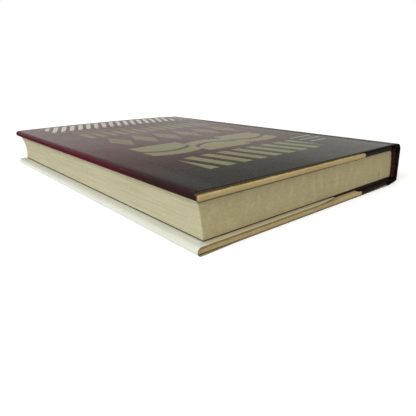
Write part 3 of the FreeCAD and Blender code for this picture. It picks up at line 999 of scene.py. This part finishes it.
def over_joint(name, side, spine_node, cover_node, material):
    """The spine's half and the cover's piece as one sheet over the joint of this side."""
    spine_half = copied(spine_node)
    cut(spine_half, (0, 0, middle_spine[1]), (0, 0, 1 if side == "front" else -1), clear_inner=True)
    cover_piece = copied(cover_node)
    close_seam(cover_piece)
    for shape, edge in ((spine_half, hinge_x - joint_gap), (cover_piece, hinge_x + joint_gap)):
        for point in shape.verts:
            if abs(point.co.x - edge) < same_place:
                point.co.x = hinge_x
    part = bpy.data.meshes.new("cover_piece")
    cover_piece.to_mesh(part)
    cover_piece.free()
    spine_half.from_mesh(part)
    bpy.data.meshes.remove(part)
    sliced(spine_half, [x for x in joint_strips if abs(x - hinge_x) > 0.05 * mm])
    settle(spine_half, side)
    piece = made_piece(name, spine_half, material)
    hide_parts(spine_node, cover_node)
    bend_at_joint(piece, side, joint_strips[0], joint_strips[-1], middle_spine[1])
    print(name, len(piece.data.polygons), "faces")


cloth_finish = dark_cloth()
gauze_finish = gauze()
for side in ("front", "back"):
    over_joint(f"{side}_cloth_over_joint", side, "spine_cloth", f"{side}_cloth", cloth_finish)
    over_joint(f"{side}_gauze_over_joint", side, "spine_mull", f"{side}_mull_tab", gauze_finish)

# %% [markdown]
# ## Boards and cover papers
# The tan paper covers what the cloth leaves bare, and is turned in over three edges. Its cut end beside the
# cloth is rounded where it goes over the edge of the board: the paper there is pulled back at both faces. The
# copy of the solid is sliced finely at that end, and its points are moved by how far they are from mid-height.

# %% Cover papers
pill_reach = 2.4 * mm
pill_out = 1.6 * mm
pill_run = 6.5 * mm


def on_cover(piece, side, node):
    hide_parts(node)
    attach(piece, f"{side}_cover")
    print(piece.name, len(piece.data.polygons), "faces")


def paper_over_board(side, material):
    """The solid of the cover paper, with its end beside the cloth made round at the head and the tail."""
    node = f"{side}_cover_paper"
    shape = copied(node)
    close_seam(shape)
    low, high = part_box(node)
    sliced(shape, np.linspace(low.z, high.z, 17)[1:-1], axis=2)
    sliced(shape, low.x + np.linspace(0.5, 6.5, 13) * mm)
    for end in (-1, 1):
        sliced(shape, [end * (high.y - inset * mm) for inset in (6, 5, 4, 3, 2, 1)], axis=1)
    middle = (low.z + high.z) / 2
    half = (high.z - low.z) / 2
    edge_y = high.y - 6 * mm
    for point in shape.verts:
        over_edge = float(eased(abs(point.co.y), edge_y, edge_y + 4 * mm))
        near_end = max(1 - (point.co.x - low.x) / pill_run, 0)
        from_middle = min(abs(point.co.z - middle) / half, 1)
        pulled_back = pill_reach * (1 - math.sqrt(1 - 0.98 * from_middle ** 2)) - pill_out
        if side == "back" and point.co.z > middle:
            pulled_back -= 1.0 * mm * from_middle
        point.co.x += pulled_back * over_edge * near_end
    settle(shape, side)
    narrow(shape, side)
    on_cover(made_piece(f"{side}_tan_paper", shape, material), side, node)


paper_finish = tan_paper()
for side in ("front", "back"):
    paper_over_board(side, paper_finish)


# %% Boards
def board(side, material):
    shape = copied(f"{side}_board")
    settle(shape, side)
    narrow(shape, side)
    on_cover(made_piece(f"{side}_grey_board", shape, material), side, f"{side}_board")


board_finish = raw_board("raw_grey_board")
for side in ("front", "back"):
    board(side, board_finish)

# %% [markdown]
# ## Endpapers
# A folded sheet of heavy maroon paper joins the pages to each cover. One leaf is tipped on the first page and
# stays with it. The other goes round the fold, over the joint, and is pasted down inside the board, where it
# lies over the turned-in cloth and paper and steps down to the bare board between them.

# %% Places of the endpapers
endpaper_materials = [dark_endpaper()] * 3
paste_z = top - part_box("back_pastedown")[1].z
step_down = 0.2 * mm
step_run = 0.6 * mm
cloth_step = 39.5 * mm
fore_step = 12.2 * mm


def refined(path, step=0.12 * mm):
    """The path with many points over the joint, where the sheet has to bend."""
    low, high = hinge_x - 1.1 * mm, hinge_x + 1.9 * mm
    points = [path[0]]
    for start, end in zip(path, path[1:]):
        if max(start[0], end[0]) > low and min(start[0], end[0]) < high:
            count = max(1, round(np.linalg.norm(end - start) / step))
            points += [start + (end - start) * share for share in np.linspace(0, 1, count + 1)[1:-1]]
        points.append(end)
    return np.array(points)


def on_side(points, side):
    """Places at the front cover, or the same places at the back cover."""
    return points if side == "front" else [(x, top - z) for x, z in points]


# %% Endpapers
def endpaper(side):
    """The free leaf on the pages, and the leaf that is pasted in the cover."""
    low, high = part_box(f"{side}_flyleaf")
    leaf_z = low.z if side == "front" else top - high.z
    fold = low.x
    inward = -1 if side == "front" else 1
    path = bend_path(on_side([(high.x, leaf_z), (fold + 0.2 * mm, leaf_z)], side), [], 3 * mm)
    leaf = sheet(f"{side}_flyleaf_leaf", path, (-page_end, page_end), 60, endpaper_materials, inward=inward)
    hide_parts(f"{side}_flyleaf")
    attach(leaf, "book_block")

    upper = paste_z + paper_thickness
    paste_end_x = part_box(f"{side}_pastedown")[1].x - (front_narrower if side == "front" else 0)
    outline = on_side([(fold + 0.2 * mm, leaf_z), (fold, leaf_z), (fold, upper), (hinge_x - 0.7 * mm, upper),
                       (paste_end_x, upper)], side)
    path = refined(bend_path(outline, [0.15 * mm, 0.3 * mm, 0.01 * mm], 0.9 * mm, 4))

    def pasted(run, y):
        """The step from the turn-ins down to the board, 0 over the turn-ins and full between them."""
        along = np.clip((cover_end - turn_in - np.abs(y)) / step_run, 0, 1)
        start = np.clip((run - cloth_step) / step_run, 0, 1)
        stop = np.clip((paste_end_x - hinge_x - fore_step - run) / step_run, 0, 1)
        sunk = settled_by * eased(run + hinge_x, *settling) * (side == "back")
        return step_down * along * start * stop + sunk

    paste = sheet(f"{side}_pasted_endpaper", path, (-page_end, page_end), 140, endpaper_materials,
                  pasted, inward=inward)
    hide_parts(f"{side}_pastedown")
    bend_at_joint(paste, side, joint_strips[0], joint_strips[-1], middle_spine[1])
    print(leaf.name, "and", paste.name, len(paste.data.polygons), "faces")


for side in ("front", "back"):
    endpaper(side)

# %% [markdown]
# ## Head and tail bands
# A worked band is a thin cord on the edge of the pages, wrapped with thread in two colours, whose crossings
# make a chain of beads beside the pages. Each turn of thread is a small tube round the cord. The tubes are
# short and many, so one helper sweeps them all, and one mesh takes them.

# %% Tubes of thread
def tube(points, radius, sides=6, closed=False):
    """Points and faces of a round thread that follows these points."""
    points = np.array(points, float)
    if closed:
        along = np.roll(points, -1, 0) - np.roll(points, 1, 0)
    else:
        ahead = np.vstack([points[1:], points[-1:] * 2 - points[-2:-1]])
        along = ahead - np.vstack([points[:1] * 2 - points[1:2], points[:-1]])
    along /= np.linalg.norm(along, axis=1)[:, None]
    across = np.cross(along, np.array([0.31, 0.17, 0.93]))
    across /= np.linalg.norm(across, axis=1)[:, None]
    third = np.cross(along, across)
    angles = np.arange(sides) * 2 * math.pi / sides
    ring = across[:, None] * np.cos(angles)[None, :, None] + third[:, None] * np.sin(angles)[None, :, None]
    verts = (points[:, None] + radius * ring).reshape(-1, 3)
    count = len(points)
    faces = []
    for i in range(count if closed else count - 1):
        j = (i + 1) % count
        for k in range(sides):
            n = (k + 1) % sides
            faces.append((i * sides + k, j * sides + k, j * sides + n, i * sides + n))
    if not closed:
        faces.append(tuple(range(sides)))
        faces.append(tuple(range((count - 1) * sides, count * sides))[::-1])
    return verts, faces


# %% Thread finishes
def thread(name, colour, darker):
    """Cotton thread: twisted strands as fine stripes."""
    finish = Finish(name)
    place = finish.place()
    twist = finish.noise(place, 2600, 2, 0.6, (1, 1, 0.4))
    tone = finish.noise(place, 500, 2, 0.5)
    mottled = finish.mix(tone.spread(0.35, 0.7), colour, darker)
    return finish.finished(mottled, 0.7, twist, 0.00008, Specular_IOR_Level=0.2)


band_materials = [
    thread("dark_red_thread", (0.060, 0.006, 0.006), (0.028, 0.004, 0.004)),
    thread("black_thread", (0.012, 0.007, 0.006), (0.006, 0.004, 0.004)),
    thread("band_tape_cotton", (0.10, 0.03, 0.025), (0.06, 0.02, 0.018)),
]
cord_slot = 1
tape_slot = 2

# %% Parts of a band
cord_radius = 0.78 * mm
thread_radius = 0.19 * mm
bead_radius = 0.26 * mm
cord_away = 0.9 * mm
turns_per_bead = 4
bead_pitch = 1.45 * mm
tape_rows = 10
tape_columns = 12


def cord_at(z, end):
    """The middle of the cord at this height. It follows the rounded backs of the pages."""
    share = (z - low_pages.z) / (high_pages.z - low_pages.z)
    arch = 1 - (2 * share - 1) ** 2
    x = hinge_x - shoulder - page_lean * (1 - share) - spine_rounding * arch - cord_away
    return np.array([x, end * (page_end + cord_away), z])


def thread_turns(low_z, high_z, end):
    """Rings of thread round the cord. Each slips along it by one pitch, and some turns share a colour."""
    pitch = bead_pitch / turns_per_bead
    room = high_z - low_z - 2 * thread_radius
    count = int(room / pitch)
    for i in range(count + 1):
        z = low_z + thread_radius + room * i / count
        turn = []
        for angle in np.linspace(0, 2 * math.pi, 20, endpoint=False):
            slip = min(pitch * angle / (2 * math.pi), high_z - thread_radius - z)
            out = np.array([math.cos(angle), math.sin(angle) * end, 0]) * (cord_radius + thread_radius * 0.6)
            turn.append(cord_at(z, end) + out + np.array([0, 0, slip]))
        yield *tube(turn, thread_radius, closed=True), (i // turns_per_bead) % 2


def bead_row(low_z, high_z, end):
    """Short bowed stitches in a row, where the threads cross on the pages."""
    beads = int((high_z - low_z) / bead_pitch)
    for i in range(beads):
        z = low_z + (i + 0.5) * (high_z - low_z) / beads
        middle = cord_at(z, end) + np.array([cord_radius * 0.92, end * cord_radius * 0.30, 0])
        bows = [np.array([0.10 * (1 - s ** 2), 0.12 * end * s, 0.62 * s]) * mm for s in np.linspace(-1, 1, 9)]
        yield *tube([middle + bow for bow in bows], bead_radius, 8), i % 2


def tape(end):
    """The band's tape, a thin strip that is glued on the backs of the pages."""
    strip = []
    for depth in (0, paper_thickness):
        for y in np.linspace(page_end - 10 * mm, page_end + 0.5 * mm, tape_rows):
            for z in low_pages.z + np.linspace(0, 1, tape_columns) * (high_pages.z - low_pages.z):
                strip.append((cord_at(z, end)[0] + cord_away - depth, end * y, z))
    layer_points = tape_rows * tape_columns
    grid = np.arange(2 * layer_points).reshape(2, tape_rows, tape_columns)
    faces = []
    for layer in (0, 1):
        for i in range(tape_rows - 1):
            for k in range(tape_columns - 1):
                face = (*grid[layer, i:i + 2, k], *grid[layer, i:i + 2, k + 1][::-1])
                faces.append(face if layer else face[::-1])
    rim = [*grid[0, :, 0], *grid[0, -1, 1:], *grid[0, -2::-1, -1], *grid[0, 0, -2:0:-1]]
    for a, b in zip(rim, rim[1:] + rim[:1]):
        faces.append((a, b, b + layer_points, a + layer_points))
    return np.array(strip), faces, tape_slot


# %% Bands
def band(name, node, end):
    """The cord, its turns of thread, its beads and its tape as one mesh, at the head or the tail."""
    low_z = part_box(node)[0].z + 0.1 * mm
    high_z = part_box(node)[1].z - 0.1 * mm
    cord = tube([cord_at(z, end) for z in np.linspace(low_z, high_z, 24)], cord_radius, 10)
    parts = [(*cord, cord_slot), *thread_turns(low_z, high_z, end), *bead_row(low_z, high_z, end), tape(end)]
    all_points, all_faces, slots = [], [], []
    for points, faces, slot_index in parts:
        base = len(all_points)
        all_points.extend(points)
        all_faces.extend(tuple(base + i for i in face) for face in faces)
        slots.extend([slot_index] * len(faces))
    made = add_piece(name, all_points, all_faces, slots, band_materials)
    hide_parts(node)
    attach(made, "book_block")
    print(name, len(made.data.polygons), "faces")


band("worked_headband", "headband", 1)
band("worked_tailband", "tailband", -1)
